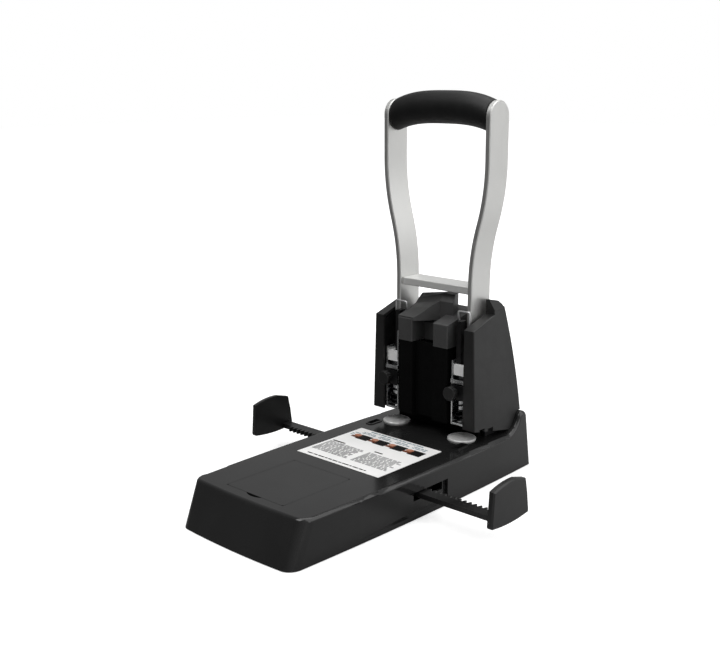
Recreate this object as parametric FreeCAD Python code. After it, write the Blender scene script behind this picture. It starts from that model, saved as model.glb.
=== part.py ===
"""Heavy-duty two-hole punch with a lever handle, drawn in millimetres.

Z is up and the table is at z = 0. X runs along the line of the two holes and Y runs from the
user, at the front, to the back. Shapes are drawn with y = 0 on the line through both punches,
and save() moves them so that the origin is the centre of the footprint.
"""
import math
import os
import FreeCAD, Part

V = FreeCAD.Vector

# Driving sizes of the base
hole_spacing = 70.0
front_reach = 218.0
rear_reach = 66.0
side_margin = 23.6
deck = 34.6
deck_wall = 3.0
side_wall = 4.5
side_bow = 3.6
front_bow = 2.3
foot_height = 1.2
rim_height = 0.5
front_slope = 13.5
plate_gauge = 2.0

# Driving sizes of the tower
throat = 12.6
frame_gauge = 3.0
cheek_wall = 2.2
bracket_gauge = 1.2
pivot_y = 22.0
pivot_rise = 71.4
shaft_radius = 5.0

# Driving sizes of the handle
handle_height = 304.6
arm_width = 24.8
arm_gauge = 4.5
arm_front = 3.8
arm_spread = 14.2
handle_swing = 80.0

# Gears: the handle's sectors and the pinion of the paper guides
sector_module = 1.6
sector_teeth = 20
pinion_module = 1.5
pinion_teeth = 20
backlash = 0.12

# Punches and cutting discs
punch_radius = 3.5
punch_bore = 2.6
disc_radius = 11.7
disc_rise = 1.4
stem_radius = 7.5

# Fits
gap = 0.3
running = 0.05
tip_gap = 0.25

# Values worked out from the driving sizes
half_hole = hole_spacing / 2
half_width = half_hole + side_margin
front = -front_reach
rear = rear_reach
under_deck = deck - deck_wall
floor_top = foot_height + plate_gauge
throat_top = deck + throat
pivot_z = deck + pivot_rise
sector_pitch = sector_module * sector_teeth / 2
pinion_pitch = pinion_module * pinion_teeth / 2
travel = sector_pitch * math.radians(handle_swing)
footprint_middle = (front + rear) / 2
half_length = (rear - front) / 2
disc_top = deck + disc_rise
punch_tip = disc_top + tip_gap + travel
frame_inner = half_hole + 8.0
frame_outer = frame_inner + frame_gauge
cheek_foot = half_hole + 19.2
cheek_lean = 0.031
cheek_lip = half_hole + 7.4
arm_inner = half_hole - 0.1
arm_outer = arm_inner + arm_gauge
bend_low = deck + 125.4
bend_high = handle_height - 46.6
sector_inner = half_hole - 5.1
sector_outer = half_hole - 0.5
head_half = half_hole - 9.0
cheek_top_front = deck + 93.4
cheek_top_rear = deck + 109.8
tower_front = -9.0
tower_depth = 32.4
heel_top = deck + 15.8
bar_low = deck + 118.0
bar_gauge = 6.3
rack_low = 16.5
rack_gauge = 4.0
pinion_y = -60.5
guide_inner = half_hole + 98.0
guide_gauge = 4.5
guide_length = 45.0


def box(x0, x1, y0, y1, z0, z1):
    """Block between two corners."""
    return Part.makeBox(x1 - x0, y1 - y0, z1 - z0, V(x0, y0, z0))


def rod_x(radius, x0, x1, y, z):
    """Round bar along X."""
    return Part.makeCylinder(radius, x1 - x0, V(x0, y, z), V(1, 0, 0))


def rod_y(radius, y0, y1, x, z):
    """Round bar along Y."""
    return Part.makeCylinder(radius, y1 - y0, V(x, y0, z), V(0, 1, 0))


def rod_z(radius, z0, z1, x, y):
    """Round bar along Z."""
    return Part.makeCylinder(radius, z1 - z0, V(x, y, z0), V(0, 0, 1))


def wire_through(steps, place):
    """Closed wire: a step of two numbers is a straight run, one of four an arc with its middle."""
    points = [place(*step[-2:]) for step in steps]
    edges = []
    for i, step in enumerate(steps):
        start = points[i - 1]
        end = points[i]
        if len(step) == 4:
            edges.append(Part.Arc(start, place(*step[:2]), end).toShape())
        else:
            edges.append(Part.makeLine(start, end))
    return Part.Wire(edges)


def side_plate(steps, x0, x1):
    """Outline in Y and Z, from x0 to x1."""
    wire = wire_through(steps, lambda y, z: V(x0, y, z))
    return Part.Face(wire).extrude(V(x1 - x0, 0, 0))


def front_plate(steps, y0, y1):
    """Outline in X and Z, from y0 to y1."""
    wire = wire_through(steps, lambda x, z: V(x, y0, z))
    return Part.Face(wire).extrude(V(0, y1 - y0, 0))


def flat_plate(steps, z0, z1):
    """Outline in X and Y, from z0 to z1."""
    wire = wire_through(steps, lambda x, y: V(x, y, z0))
    return Part.Face(wire).extrude(V(0, 0, z1 - z0))


def picked(shape, test):
    """Edges whose middle point passes the test."""
    found = []
    for edge in shape.Edges:
        middle = edge.valueAt((edge.FirstParameter + edge.LastParameter) / 2)
        if test(middle, edge):
            found.append(edge)
    return found


def rounded(shape, radius, test):
    """Shape with the picked edges rounded."""
    return shape.makeFillet(radius, picked(shape, test))


def bevelled(shape, size, test):
    """Shape with the picked edges bevelled."""
    return shape.makeChamfer(size, picked(shape, test))


def on_side(shape, side):
    """The shape as drawn for the right side, or its mirror image for the left."""
    return shape if side > 0 else shape.mirror(V(0, 0, 0), V(1, 0, 0))


def save(name, *solids):
    """Write one sub-part, moved so that the origin is the centre of the footprint."""
    shape = solids[0] if len(solids) == 1 else Part.makeCompound(list(solids))
    if len(solids) == 1 and len(shape.Solids) == 1:
        shape = shape.Solids[0]
    moved = shape.copy()
    moved.translate(V(0, -footprint_middle, 0))
    if not moved.isValid():
        print("not valid:", name)
    moved.exportStep("parts/" + name + ".step")


def sides():
    """Both sides, the right one first."""
    return ((1, "right"), (-1, "left"))


def involute(angle):
    """Involute of a pressure angle."""
    return math.tan(angle) - angle


def tooth_points(module, teeth, centre_angle):
    """Outline of one gear tooth, from the root on one side to the root on the other."""
    pressure = math.radians(20)
    pitch = module * teeth / 2
    base = pitch * math.cos(pressure)
    tip = pitch + module
    root = pitch - 1.25 * module
    half = math.pi / (2 * teeth) - backlash / (2 * pitch) + involute(pressure)
    flank = [(root, half)]
    steps = 4
    for i in range(steps + 1):
        radius = base + (tip - base) * i / steps
        flank.append((radius, half - involute(math.acos(base / radius))))
    rising = [(r, centre_angle - a) for r, a in flank]
    falling = [(r, centre_angle + a) for r, a in reversed(flank)]
    return [(r * math.cos(a), r * math.sin(a)) for r, a in rising + falling]


def toothed(module, teeth, angles):
    """Points round the teeth that stand at the given angles."""
    points = []
    for angle in angles:
        points += tooth_points(module, teeth, angle)
    return points


def rack_points(module, first, last, pitch_line, facing):
    """Rack teeth between two places along the rack, with a gap centred on zero."""
    step = math.pi * module
    slope = math.tan(math.radians(20))
    half = step / 4 - backlash / 2
    points = []
    for k in range(math.ceil(first / step), math.floor(last / step) + 1):
        middle = (k + 0.5) * step
        if middle - step / 2 < first or middle + step / 2 > last:
            continue
        wide = half + 1.25 * module * slope
        narrow = half - module * slope
        root = pitch_line - facing * 1.25 * module
        tip = pitch_line + facing * module
        points += [(middle - wide, root), (middle - narrow, tip), (middle + narrow, tip), (middle + wide, root)]
    return points


def arc_from(start, heading, end):
    """Arc that leaves start along the heading, or a line where they are in line."""
    chord = end - start
    normal = heading.cross(chord)
    if normal.Length < 1e-6:
        return Part.makeLine(start, end)
    normal.normalize()
    inward = normal.cross(heading)
    radius = chord.dot(chord) / (2 * chord.dot(inward))
    centre = start + inward * radius
    middle = (start + end) * 0.5 - centre
    middle.normalize()
    return Part.Arc(start, centre + middle * abs(radius), end).toShape()


def biarc(start, heading, end, arrival):
    """Two arcs that join two points smoothly."""
    chord = end - start
    both = heading + arrival
    a = 2 * (1 - heading.dot(arrival))
    b = 2 * chord.dot(both)
    c = -chord.dot(chord)
    reach = -c / b if a < 1e-9 else (-b + math.sqrt(b * b - 4 * a * c)) / (2 * a)
    joint = (start + heading * reach + end - arrival * reach) * 0.5
    return [arc_from(start, heading, joint), arc_from(end, arrival * -1, joint)]


def coil_stations(radius, pitch, turns):
    """Point and heading at each quarter turn of a coil round the Z axis."""
    stations = []
    for i in range(int(turns * 4) + 1):
        a = i * math.pi / 2
        point = V(radius * math.cos(a), radius * math.sin(a), pitch * i / 4)
        heading = V(-radius * math.sin(a), radius * math.cos(a), pitch / (2 * math.pi))
        heading.normalize()
        stations.append((point, heading))
    return stations


def coil_edges(stations):
    """Smooth path through the stations of a coil."""
    edges = []
    for (start, heading), (end, arrival) in zip(stations, stations[1:]):
        edges += biarc(start, heading, end, arrival)
    return edges


def tube_along(edges, start, heading, radius):
    """Round wire swept along a smooth path."""
    path = Part.Wire(Part.__sortEdges__(edges))
    profile = Part.Wire([Part.makeCircle(radius, start, heading)])
    return path.makePipeShell([profile], True, False)


def print_least_gap(name, edges, radius, apart):
    """Print the least distance between turns of a wire, leaving out its near neighbourhood."""
    points = []
    along = 0.0
    for edge in edges:
        for i in range(6):
            where = edge.FirstParameter + (edge.LastParameter - edge.FirstParameter) * i / 6
            points.append((along + edge.Length * i / 6, edge.valueAt(where)))
        along += edge.Length
    least = min(
        (p - q).Length
        for i, (s, p) in enumerate(points)
        for t, q in points[i + 1:]
        if t - s > apart
    )
    print(name, "least gap to itself", round(least - 2 * radius, 2), "mm")


# Base


def heel_steps():
    """Hollow ramp from the deck up to the heel behind the tower, then its round top and the rear wall."""
    lean = math.radians(9.5)
    ramp = 18.0
    crown = 6.0
    low = deck + ramp
    high = heel_top - crown
    crest = rear - (high - rim_height) * math.tan(lean) - crown / math.cos(lean)
    start = crest - math.sqrt((ramp + crown) ** 2 - (low - high) ** 2)
    meet = math.atan2(high - low, crest - start)

    def on_ramp(angle):
        return start + ramp * math.cos(angle), low + ramp * math.sin(angle)

    def on_crown(angle):
        return crest + crown * math.cos(angle), high + crown * math.sin(angle)

    return [
        (start, deck),
        (*on_ramp((meet - math.pi / 2) / 2), *on_ramp(meet)),
        (*on_crown((meet + math.pi + lean) / 2), *on_crown(lean)),
        (rear, rim_height),
    ]


def bow_at(y):
    """How far the side of the base stands out at a place along it."""
    return side_bow * (1 - ((y - footprint_middle) / half_length) ** 2)


def front_curve(inset):
    """Large leaning cylinder whose surface is the bowed front, drawn in by the inset."""
    radius = (half_width ** 2 + front_bow ** 2) / (2 * front_bow)
    axis = V(0, front_slope, deck - rim_height)
    axis.normalize()
    centre = V(0, front, rim_height) + V(0, axis.z, -axis.y) * radius
    return Part.makeCylinder(radius - inset, 500.0, centre - axis * 200.0, axis)


def bowed(steps, inset):
    """Side view made solid between the bowed sides and front of the base, drawn in by the inset."""
    side = half_width - inset
    plan = flat_plate([
        (-side, rear),
        (-side - side_bow, footprint_middle, -side, front),
        (side, front),
        (side + side_bow, footprint_middle, side, rear),
    ], -5.0, heel_top + 5.0)
    reach = half_width + side_bow + 1
    return side_plate(steps, -reach, reach).common(plan).common(front_curve(inset))


def base_body():
    """Outside of the base, with its rounded corners and edges."""
    body = bowed([
        (front - 1.0, rim_height),
        (front - 1.0, deck),
        *heel_steps(),
    ], 0)
    corner = 10.0
    edge = 3.0
    body = rounded(body, corner, lambda m, e: m.y < front + front_slope + front_bow and abs(m.z - deck / 2) < 2)
    return rounded(body, edge, lambda m, e: (abs(m.z - deck) < 0.01 and not (abs(m.x) < 1 and m.y > 0)) or
                   (abs(m.x) > half_width - 5 and (m.z > deck or (m.z > foot_height and m.y > rear - 9))))


def base_cavity(clear):
    """Hollow of the base, open at the bottom and drawn in by a clearance."""
    body = bowed([
        (front, -1.0),
        (front, under_deck),
        (21.0, under_deck),
        (43.0, under_deck + 5.0, 52.0, heel_top - 4.6),
        (rear - 12.4, heel_top - 4.6),
        (rear - 3.6, -1.0),
    ], side_wall + clear)
    corner = 6.0
    return rounded(body, corner, lambda m, e: m.y < front + front_slope + 8 and abs(m.z - deck / 2) < 3)


def scoop(side, shift):
    """Shallow finger scoop in a side wall, in front of the slot of the paper guide."""
    depth = 2.4
    outside = half_width + side_bow + 1
    start, full, end = (y + shift for y in (-150.0, -90.0, -52.0))
    plan = flat_plate([
        (outside, start),
        (half_width + bow_at(start), start),
        (half_width + bow_at(full) - depth, full),
        (half_width + bow_at(end) - depth, end),
        (outside, end),
    ], 4.0, deck)
    view = side_plate([
        (-151.0 + shift, 4.0),
        (-151.0 + shift, deck - 1.6),
        (-130.0 + shift, deck - 2.6),
        (-110.0 + shift, 25.5, -90.0 + shift, 22.0),
        (-51.0 + shift, 22.0),
        (-51.0 + shift, 4.0),
    ], 0, outside)
    return on_side(plan.common(view), side)


def rack_line(side):
    """Where the pitch line of a guide's rack lies."""
    return pinion_y - side * pinion_pitch


def screw_posts():
    """Places of the posts that take the floor screws."""
    across = half_width - side_wall - 3.0
    return [(s * across, y) for s in (-1, 1) for y in (front + 24.0, -108.0, 10.0)]


def storage_span():
    """Half width, front and back of the storage box under the lid."""
    return 29.5, front + 24.0, front + 91.0


def deck_slot(margin):
    """Edges in X and Y of the slot beside the right cutting disc, grown by a margin."""
    return half_hole + 8.6 - margin, half_hole + 14.0 + margin, -23.4 - margin, -10.6 + margin


def slot_lip():
    """Low lip round the deck slot."""
    high = deck + 0.7
    lip = box(*deck_slot(1.2), under_deck, high)
    return rounded(lip, 2.6, lambda m, e: abs(e.Length - high + under_deck) < 0.01)


def rack_slot(side):
    """Slot in a side wall for the rack of a paper guide."""
    line = rack_line(side)
    near, far = (14.5, 19.5) if side > 0 else (19.5, 14.5)
    low = rack_low - 2.5
    slot = box(half_width - 8, half_width + side_bow + 1, line - near, line + far, low, low + 8.0)
    return on_side(slot, side)


def base_shell():
    """Shell of the base with every opening in it."""
    shell = base_body().cut(base_cavity(0))
    lid_half, lid_front, lid_back = storage_span()
    shell = shell.cut(box(-lid_half - gap, lid_half + gap, lid_front - gap, lid_back + gap, 0, deck + 1))
    nick = 3.0
    nick_radius = 13.8
    shell = shell.cut(rod_z(nick_radius, deck - 2.2, deck + 1, 0, lid_front - nick + nick_radius))
    for side in (1, -1):
        shell = shell.cut(rod_z(disc_radius + 0.4, under_deck - 1, deck + 1, side * half_hole, 0))
        shell = shell.fuse(on_side(slot_lip(), side))
        shell = shell.cut(on_side(box(*deck_slot(0), under_deck - 1, deck + 2), side))
        leg = box(frame_inner - gap, frame_outer + gap, 16.6, 48.6, under_deck - 1, heel_top + 1)
        shell = shell.cut(on_side(leg, side))
        shift = 0 if side > 0 else 22.5
        shell = shell.cut(scoop(side, shift)).cut(rack_slot(side))
    shell = shell.cut(box(-24, 24, 18.0, 40.0, under_deck - 1, deck + 6))
    door = drawer_half() + gap
    shell = shell.cut(box(-door, door, rear - 20, rear + 1, floor_top, drawer_top() + gap))
    for x, y in screw_posts():
        post = rod_z(3.5, floor_top, under_deck + 1, x, y).cut(rod_z(1.5, floor_top - 1, 16.0, x, y))
        shell = shell.fuse(post)
    save("base_shell", shell.removeSplitter())


def base_floor():
    """Sheet steel floor that closes the base."""
    reach = half_width + side_bow
    sheet = base_cavity(gap).common(box(-reach, reach, front, rear - 5.0, foot_height, floor_top))
    for x, y in screw_posts():
        sheet = sheet.cut(rod_z(1.6, 0, floor_top + 1, x, y))
    save("base_floor", sheet)


def floor_screws():
    """Pan-head screws that hold the floor."""
    screws = []
    for x, y in screw_posts():
        head = rod_z(2.6, 0.3, foot_height, x, y)
        slot = box(x - 2.0, x + 2.0, y - 0.4, y + 0.4, 0.2, 0.8)
        screws.append(head.cut(slot).fuse(rod_z(1.45, foot_height, 14.0, x, y)))
    save("floor_screws", *screws)


def feet():
    """Rubber feet glued under the floor."""
    across = half_width - 16.0
    places = [(s * across, y) for s in (-1, 1) for y in (front + 42.0, rear - 22.0)]
    save("rubber_feet", *[rod_z(8.0, 0, foot_height, x, y) for x, y in places])


def storage_box():
    """Storage box that hangs under the lid opening."""
    half, low, high = storage_span()
    wall = 1.6
    top = under_deck
    space = box(-half + wall, half - wall, low + wall, high - wall, 8.0 + wall, top + 1)
    tray = box(-half, half, low, high, 8.0, top).cut(space)
    flange = box(-half - 4, half + 4, low - 4, high + 4, top - wall, top)
    rim = flange.cut(box(-half + wall, half - wall, low + wall, high - wall, 0, top + 1))
    save("storage_box", tray.fuse(rim).removeSplitter())


def storage_lid():
    """Lid of the storage box, flush with the deck."""
    half, low, high = storage_span()
    lid = box(-half, half, low, high, under_deck, deck)
    lid = rounded(lid, 2.0, lambda m, e: abs(e.Length - deck_wall) < 0.01)
    ribs = box(-half + 3, half - 3, low + 3, high - 3, under_deck - 2.0, under_deck)
    ribs = ribs.cut(box(-half + 4.6, half - 4.6, low + 4.6, high - 4.6, 0, under_deck))
    save("storage_lid", lid.fuse(ribs).removeSplitter())


def instruction_label():
    """Printed sheet glued on the deck."""
    save("instruction_label", box(-43.0, 43.0, front + 107.0, front + 182.0, deck, deck + 0.2))


# Chip drawer


def drawer_half():
    """Half width of the chip drawer."""
    return half_hole - 1.0


def drawer_top():
    """Top of the chip drawer's sides."""
    return deck - 8.6


def chip_drawer():
    """Drawer for the paper chips, pulled out at the back."""
    half = drawer_half()
    low = floor_top + gap
    wall = 1.8
    inner_front = 17.0
    tray = box(-half, half, inner_front, rear - 8.0, low, drawer_top())
    space = box(-half + wall, half - wall, inner_front + wall, rear - 8.0, low + wall, drawer_top() + 1)
    tray = tray.cut(space)
    face = base_body().common(box(-half, half, rear - 8.0, rear + 1, low, drawer_top()))
    pull = rod_x(3.4, -13.0, 13.0, rear - 0.4, low + 5.5)
    save("chip_drawer", tray.fuse(face).cut(pull).removeSplitter())


# Paper guides


def guide_carrier():
    """Moulded carrier with a channel for each rack and a post for the pinion."""
    across = half_width - side_wall - 3.0
    near = rack_line(1) - 11.5
    far = rack_line(-1) + 11.5
    wall = 4.5
    channel_floor = rack_low - gap
    low = channel_floor - 2.5
    carrier = box(-across, across, near - wall, far + wall, low, channel_floor)
    top = rack_low + rack_gauge + gap
    carrier = carrier.fuse(box(-across, across, near - wall, near, channel_floor, top))
    carrier = carrier.fuse(box(-across, across, far, far + wall, channel_floor, top))
    carrier = carrier.fuse(rod_z(4.0, channel_floor, top, 0, pinion_y))
    for x in (-across + 6.0, across - 6.0):
        for y in (near, far):
            carrier = carrier.fuse(rod_z(3.5, floor_top, low, x, y))
    save("guide_carrier", carrier.removeSplitter())


def guide_cover():
    """Sheet that keeps the racks and the pinion in the carrier."""
    across = half_width - side_wall - 3.0
    low = rack_low + rack_gauge + gap
    save("guide_cover", box(-across, across, rack_line(1) - 16.0, rack_line(-1) + 16.0, low, low + 1.2))


def guide_pinion():
    """Pinion that makes both paper guides move together."""
    angles = [2 * math.pi * k / pinion_teeth + math.pi / 2 for k in range(pinion_teeth)]
    points = toothed(pinion_module, pinion_teeth, angles)
    wheel = flat_plate(points, rack_low, rack_low + rack_gauge)
    wheel = wheel.cut(rod_z(4.0 + running, 0, rack_low + rack_gauge + 1, 0, 0))
    for k in range(5):
        a = 2 * math.pi * k / 5
        wheel = wheel.cut(rod_z(2.3, 0, rack_low + rack_gauge + 1, 9.0 * math.cos(a), 9.0 * math.sin(a)))
    wheel.translate(V(0, pinion_y, 0))
    save("guide_pinion", wheel)


def guide_racks():
    """Toothed bars that carry the paper guides."""
    inner_end = -22.0
    for side, name in sides():
        line = rack_line(side)
        back = line - side * 11.0
        teeth = rack_points(pinion_module, inner_end, guide_inner - 6.0, line, side)
        root = line - side * 1.25 * pinion_module
        steps = [(inner_end, back), (inner_end, root), *teeth, (guide_inner, root), (guide_inner, back)]
        bar = flat_plate(steps, rack_low, rack_low + rack_gauge)
        save("guide_rack_" + name, on_side(bar, side))


def guide_plates():
    """Upright stops at the ends of the racks."""
    for side, name in sides():
        start = -98.4 if side > 0 else -76.4
        end = start + guide_length
        low = rack_low - 1.0
        outline = [
            (start + 1.9, deck + 9.4),
            (start + 13.0, deck + 12.1, start + 28.0, deck + 12.9),
            (end - 4.4, deck + 9.4),
            (end - 1.9, deck - 2.0),
            (end, low + 3.4),
            (end - 0.6, low + 1.6, end - 2.8, low + 0.9),
            (start + guide_length / 2, low - 0.6, start + 3.0, low + 0.9),
            (start + 0.7, low + 1.7, start, low + 3.6),
        ]
        plate = side_plate(outline, guide_inner, guide_inner + guide_gauge)
        plate = bevelled(plate, 1.1, lambda m, e: abs(m.x - guide_inner - guide_gauge) < 0.01)
        save("guide_plate_" + name, on_side(plate, side))


# Cutting discs and their seat


def anvil():
    """Steel block under the discs, which takes the punching force."""
    low = deck - 15.6
    high = deck - 7.6
    block = box(-frame_inner, frame_inner, -15.0, 15.0, low, high)
    for side in (1, -1):
        block = block.cut(rod_z(stem_radius + running, high - 2.0, high + 1, side * half_hole, 0))
    save("anvil", block)


def cutting_discs():
    """Round discs that the hollow punches press against."""
    seat = deck - 9.6
    for side, name in sides():
        x = side * half_hole
        disc = rod_z(disc_radius, disc_top - 3.0, disc_top, x, 0)
        disc = bevelled(disc, 0.5, lambda m, e: abs(m.z - disc_top) < 0.01 and e.Length > 10)
        disc = disc.fuse(rod_z(stem_radius, seat, disc_top - 3.0, x, 0))
        save("cutting_disc_" + name, disc)


# Tower


def tower_back(z):
    """Back edge of the tower at a height."""
    share = (cheek_top_rear - z) / (cheek_top_rear - heel_top)
    return tower_depth + 23.1 * share + 9.6 * share * (1 - share)


def back_curve(inset, high, low):
    """Outline steps down the back of the tower, inside it by the inset."""
    middle = (high + low) / 2
    return [
        (tower_back(high) - inset, high),
        (tower_back(middle) - inset, middle, tower_back(low) - inset, low),
    ]


def side_frames():
    """Steel frames that join the anvil to the pivot round the paper throat."""
    low = throat_top + gap
    edge = tower_front + cheek_wall + gap
    steps = [
        (-16.0, floor_top),
        (-16.0, deck - 4.6),
        (17.0, deck - 4.6),
        (17.0, low),
        (edge, low),
        (edge, cheek_top_front - 3.4),
        *back_curve(4.9, cheek_top_rear - 6.6, heel_top + 2.0),
        (48.2, heel_top + 2.0),
        (48.2, floor_top),
    ]
    for side, name in sides():
        plate = side_plate(steps, frame_inner, frame_outer)
        plate = plate.cut(rod_x(shaft_radius + running, frame_inner - 1, frame_outer + 1, pivot_y, pivot_z))
        for y, z in tie_places():
            plate = plate.cut(rod_x(3.0, frame_inner - 1, frame_outer + 1, y, z))
        save("side_frame_" + name, on_side(plate, side))


def tie_places():
    """Places of the rods that tie the two frames together."""
    return [(32.0, deck + 87.4), (40.0, deck + 35.4)]


def tie_rods():
    """Rods riveted between the frames."""
    save("tie_rods", *[rod_x(3.0, -frame_outer, frame_outer, y, z) for y, z in tie_places()])


def cheek_outline(inset):
    """Side view of a cheek cover, drawn in from its outside by a wall."""
    seat = heel_top + 0.5
    return [
        (tower_front + inset, deck + 11.5),
        (tower_front + inset, cheek_top_front - inset),
        *back_curve(inset, cheek_top_rear - 2.4 - inset, seat),
        (51.0 - inset, seat),
        (51.0 - inset, deck + 2.4),
        (38.6, deck + 2.4),
    ]


def leaning(inset):
    """Everything outside the leaning outer face of a cheek."""
    low = deck - 5.0
    high = cheek_top_rear + 5.0
    foot = cheek_foot - inset + cheek_lean * (throat_top - low)
    top = cheek_foot - inset - cheek_lean * (high - throat_top)
    return front_plate([(foot, low), (top, high), (80.0, high), (80.0, low)], -40.0, 80.0)


def cheek_crest():
    """Raised rear end of a cheek's top, which leans in towards the arm."""
    top = cheek_top_rear
    across = front_plate([
        (cheek_lip, top - 9.0),
        (cheek_foot - 3.0, top - 9.0),
        (cheek_foot - 3.0, top - 3.6),
        (cheek_lip + 3.0, top + 4.5),
        (cheek_lip, top + 4.5),
    ], 15.0, 40.0)
    along = side_plate([
        (19.0, top - 8.2),
        (19.0, top + 4.4),
        (22.0, top + 3.8),
        (29.5, top + 2.2),
        (tower_depth - 0.6, top - 0.4),
        (tower_depth + 0.4, top - 3.4),
    ], cheek_lip, cheek_foot)
    return across.common(along)


def cheeks():
    """Black covers round the frames."""
    ramp = base_body()
    ramp.translate(V(0, 0, gap))
    for side, name in sides():
        body = side_plate(cheek_outline(0), cheek_lip, 70.0).cut(leaning(0)).cut(ramp)
        body = rounded(body, 1.4, lambda m, e: m.x > cheek_foot - 4.5 and m.z > deck + 17)
        hollow = side_plate([*cheek_outline(cheek_wall)[:-2], (51.0 - cheek_wall, deck - 5.0),
                             (tower_front + cheek_wall, deck - 5.0)], cheek_lip - 1, 70.0)
        body = body.cut(hollow.cut(leaning(cheek_wall)))
        body = body.fuse(cheek_crest())
        for y0, y1, high in ((-2.0, 5.0, 11.6), (9.5, 16.5, 10.2)):
            body = body.cut(box(cheek_lip - 1, 70.0, y0, y1, deck, deck + high))
        for y, z in ((0.0, deck + 84.0), (0.0, deck + 30.0), (36.0, deck + 46.0)):
            boss = rod_x(4.0, frame_outer, 70.0, y, z).cut(leaning(cheek_wall / 2))
            body = body.fuse(boss)
        save("cheek_" + name, on_side(body.removeSplitter(), side))


def rear_cover():
    """Cover between the cheeks at the back."""
    half = cheek_lip - gap
    top = deck + 93.0
    foot = heel_top + gap
    outside = back_curve(0, top, foot)
    inside = back_curve(cheek_wall, top, foot)
    cover = side_plate([*outside, inside[1][-2:], (*inside[1][:2], *inside[0])], -half, half)
    y, z = tie_places()[1]
    for x in (-24.0, 24.0):
        lug = box(x - 3, x + 3, y - 5.0, tower_back(z + 5.0) - 0.5, z - 5.0, z + 5.0)
        cover = cover.fuse(lug.cut(rod_x(3.0, x - 4, x + 4, y, z)))
    save("rear_cover", cover.removeSplitter())


def column():
    """Dark housing between the punches."""
    half = head_half - 0.4
    wall = 2.5
    low = throat_top
    top = deck + 75.4
    body = box(-half, half, -9.0, 13.0, low, top)
    body = rounded(body, 1.5, lambda m, e: m.y < -8.9 and abs(abs(m.x) - half) < 0.01)
    body = body.cut(box(-10.6, 10.6, -10.0, -4.0, low - 1, top + 1))
    inner = box(-half + wall, half - wall, -4.0 + wall, 14.0, low + wall, top + 1)
    pockets = [box(min(a, b), max(a, b), -9.0 + wall, 0, low + wall, top + 1)
               for a, b in ((-half + wall, -10.6 - wall), (10.6 + wall, half - wall))]
    body = body.cut(inner)
    for pocket in pockets:
        body = body.cut(pocket)
    save("column_cover", body.removeSplitter())


def paper_stop():
    """Back stop for the edges of the sheets."""
    stop = box(-frame_inner + 0.4, frame_inner - 0.4, 12.0, 16.0, deck, throat_top - 0.4)
    save("paper_stop", stop)


def head():
    """Cast head over the punches, with the bearings of the handle shaft."""
    low = deck + 75.4
    ledge = deck + 103.1
    crest = deck + 114.9
    body = side_plate([
        (-9.5, low),
        (-9.5, deck + 94.4),
        (28.0, ledge + 0.3),
        (33.0, deck + 93.0),
        (35.4, low),
    ], -head_half, head_half)
    centre = side_plate([
        (-10.0, low - 1),
        (5.5, low - 1),
        (5.5, deck + 90.0),
        (20.0, deck + 99.0),
        (20.0, ledge + 1),
        (-10.0, ledge + 1),
    ], -11.0, 11.0)
    body = body.cut(centre)
    for side in (1, -1):
        foot = box(10.0, 15.6, 13.0, 31.0, pivot_z - 8.0, low)
        body = body.fuse(on_side(foot, side))
        nest = rod_x(9.8, 16.0, head_half + 1, pivot_y, pivot_z)
        body = body.cut(on_side(nest, side))
    body = rounded(body.removeSplitter(), 1.0, lambda m, e: abs(m.y + 9.5) < 0.01 and m.z > low + 1)
    low_y, high_y = -9.0, 22.0
    root = deck + 93.0
    outside = [(low_y, deck + 95.8), (5.7, deck + 99.8), (13.2, deck + 102.5), (17.0, deck + 106.1),
               (high_y, deck + 110.0), (high_y, root), (low_y, root)]
    inside = [(low_y, deck + 95.8), (0.0, deck + 104.9), (8.0, deck + 109.1), (13.5, crest),
              (high_y, crest), (high_y, root), (low_y, root)]
    boss_edge = 4.3
    left_wire = wire_through(outside, lambda y, z: V(-head_half, y, z))
    right_wire = wire_through(inside, lambda y, z: V(boss_edge, y, z))
    shoulder = Part.makeLoft([left_wire, right_wire], True, True)
    shoulder = shoulder.cut(flat_plate([(-11.0, -10.0), (4.5, 8.0), (20.0, -10.0)], root - 1, crest + 1))
    boss = side_plate([(8.0, root), *inside[2:5], (high_y, root)], boss_edge, 20.0)
    plan = flat_plate([(boss_edge, 7.0), (18.4, 7.0), (12.4, high_y), (boss_edge, high_y)], root, crest)
    boss = boss.common(plan)
    body = body.fuse(shoulder).fuse(boss)
    body = body.cut(rod_x(shaft_radius + running, -head_half - 1, head_half + 1, pivot_y, pivot_z))
    y, z = tie_places()[0]
    body = body.cut(rod_x(3.0, -head_half - 1, head_half + 1, y, z))
    save("head", body.removeSplitter())


# Handle


def arm_top():
    """Distance from the middle to the middle line of an arm beside the grip."""
    return arm_inner + arm_gauge / 2 + arm_spread


def arm_steps():
    """Front view of an arm, which bends outwards in two equal arcs and is straight below and above."""
    foot = arm_inner + arm_gauge / 2
    top = arm_top()
    half = arm_gauge / 2
    rise = (bend_high - bend_low) / 2
    shift = arm_spread / 2
    radius = (rise ** 2 + shift ** 2) / (2 * shift)
    turn = math.asin(rise / radius)

    def low(offset, angle):
        reach = radius - offset
        return foot + radius - reach * math.cos(angle), bend_low + reach * math.sin(angle)

    def high(offset, angle):
        reach = radius + offset
        return top - radius + reach * math.cos(angle), bend_high - reach * math.sin(angle)

    return [
        (foot + half, pivot_z + 12.0),
        (foot + half, bend_low),
        (*low(half, turn / 2), *low(half, turn)),
        (*high(half, turn / 2), *high(half, 0)),
        (top + half, handle_height),
        (top - half, handle_height),
        (top - half, bend_high),
        (*high(-half, turn / 2), *high(-half, turn)),
        (*low(-half, turn / 2), *low(-half, 0)),
        (foot - half, pivot_z + 12.0),
    ]


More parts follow.
